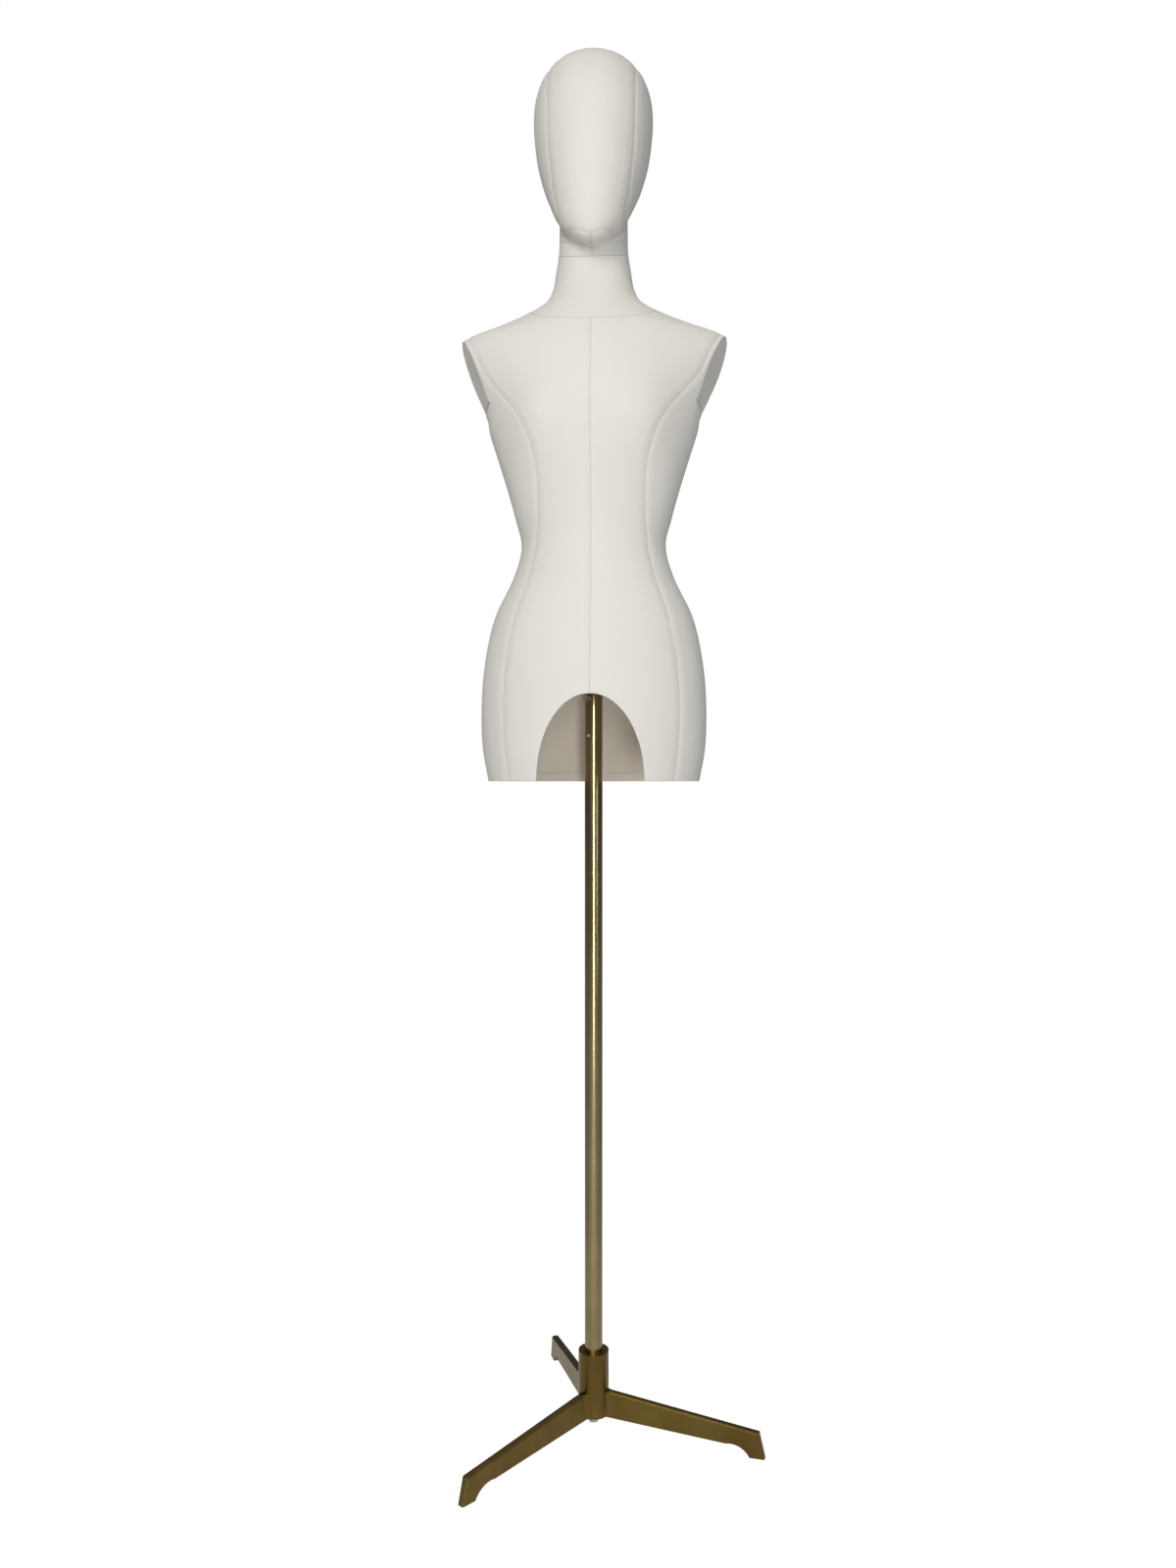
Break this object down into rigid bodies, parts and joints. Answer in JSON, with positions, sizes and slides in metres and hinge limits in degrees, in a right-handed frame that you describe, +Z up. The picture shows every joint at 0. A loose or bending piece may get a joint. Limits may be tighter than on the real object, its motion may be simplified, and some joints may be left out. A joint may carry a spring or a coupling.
{
  "type": "dress form mannequin",
  "caption": "Dress form torso with a removable egg-shaped head, carried on a telescopic brass-finished pole in a cast tripod foot.",
  "frame": {"origin": "on the pole axis at floor level", "axes": "+Z up along the pole, the form faces -Y, +X is the viewer's right when facing it"},
  "size_m": [0.4258, 0.4137, 1.94],
  "materials": {
    "brass_casting": "satin antique brass",
    "brass_tube": "brushed antique brass",
    "rubber": "matte",
    "steel": "zinc plated",
    "nylon": "matte",
    "moulded_shell": "matte moulded fibre",
    "lining": "plain cotton",
    "cotton_cover": "fine plain weave cotton",
    "plywood": "raw birch plywood",
    "beech": "raw beech"
  },
  "bodies": {
    "stand": {"tripod_base": "brass_casting", "foot_pad_1": "rubber", "foot_pad_2": "rubber", "foot_pad_3": "rubber", "pole_tube": "brass_tube", "pole_end_plug": "brass_tube", "pole_bolt": "steel", "pole_bolt_washer": "steel", "pole_bolt_spring_washer": "steel", "lock_boss": "brass_tube", "guide_boss": "brass_tube", "guide_screw": "steel", "tube_bush": "nylon"},
    "lock_pad": {"lock_pad": "nylon"},
    "lock_screw": {"lock_screw": "steel"},
    "rod": {"inner_rod": "steel", "rod_glide": "nylon", "turn_pad": "nylon"},
    "torso": {"rod_socket": "steel", "flange_screws": "steel", "mount_board": "plywood", "torso_shell": "moulded_shell", "torso_lining": "lining", "hem_band": "lining", "cover_neck": "cotton_cover", "cover_front_left": "cotton_cover", "cover_front_right": "cotton_cover", "cover_side_front_left": "cotton_cover", "cover_side_front_right": "cotton_cover", "cover_back_left": "cotton_cover", "cover_back_right": "cotton_cover", "cover_side_back_left": "cotton_cover", "cover_side_back_right": "cotton_cover", "armhole_board_left": "plywood", "armhole_board_right": "plywood", "armhole_cover_left": "cotton_cover", "armhole_cover_right": "cotton_cover", "neck_cap": "beech"},
    "neck_bush": {"neck_bush": "nylon"},
    "head": {"head_shell": "moulded_shell", "head_cover_centre": "cotton_cover", "head_cover_left": "cotton_cover", "head_cover_right": "cotton_cover", "head_base_plate": "beech", "head_peg": "beech", "peg_screw": "steel"}
  },
  "joints": [
    {"name": "height_slide", "type": "slide", "parent": "stand", "child": "rod", "axis": [0, 0, 1], "range_m": [-0.25, 0.1]},
    {"name": "torso_turn", "type": "hinge", "parent": "rod", "child": "torso", "pos_m": [0, 0, 1.4], "axis": [0, 0, 1], "continuous": true},
    {"name": "head_turn", "type": "hinge", "parent": "torso", "child": "neck_bush", "pos_m": [0, 0, 1.668], "axis": [0, -0.4067, 0.9135], "continuous": true},
    {"name": "head_lift", "type": "slide", "parent": "neck_bush", "child": "head", "axis": [0, -0.4067, 0.9135], "range_m": [0, 0.09]},
    {"name": "lock_pad_travel", "type": "slide", "parent": "stand", "child": "lock_pad", "axis": [-0.515, -0.8572, 0], "range_m": [0, 0.0021]},
    {"name": "lock_screw_turn", "type": "hinge", "parent": "lock_pad", "child": "lock_screw", "pos_m": [-0.00824, -0.01371, 1.041], "axis": [-0.515, -0.8572, 0], "range_deg": [0, 720]}
  ],
  "couplings": [
    {"joint": "lock_pad_travel", "follows": "lock_screw_turn", "m_per_rad": 0.00015915}
  ]
}
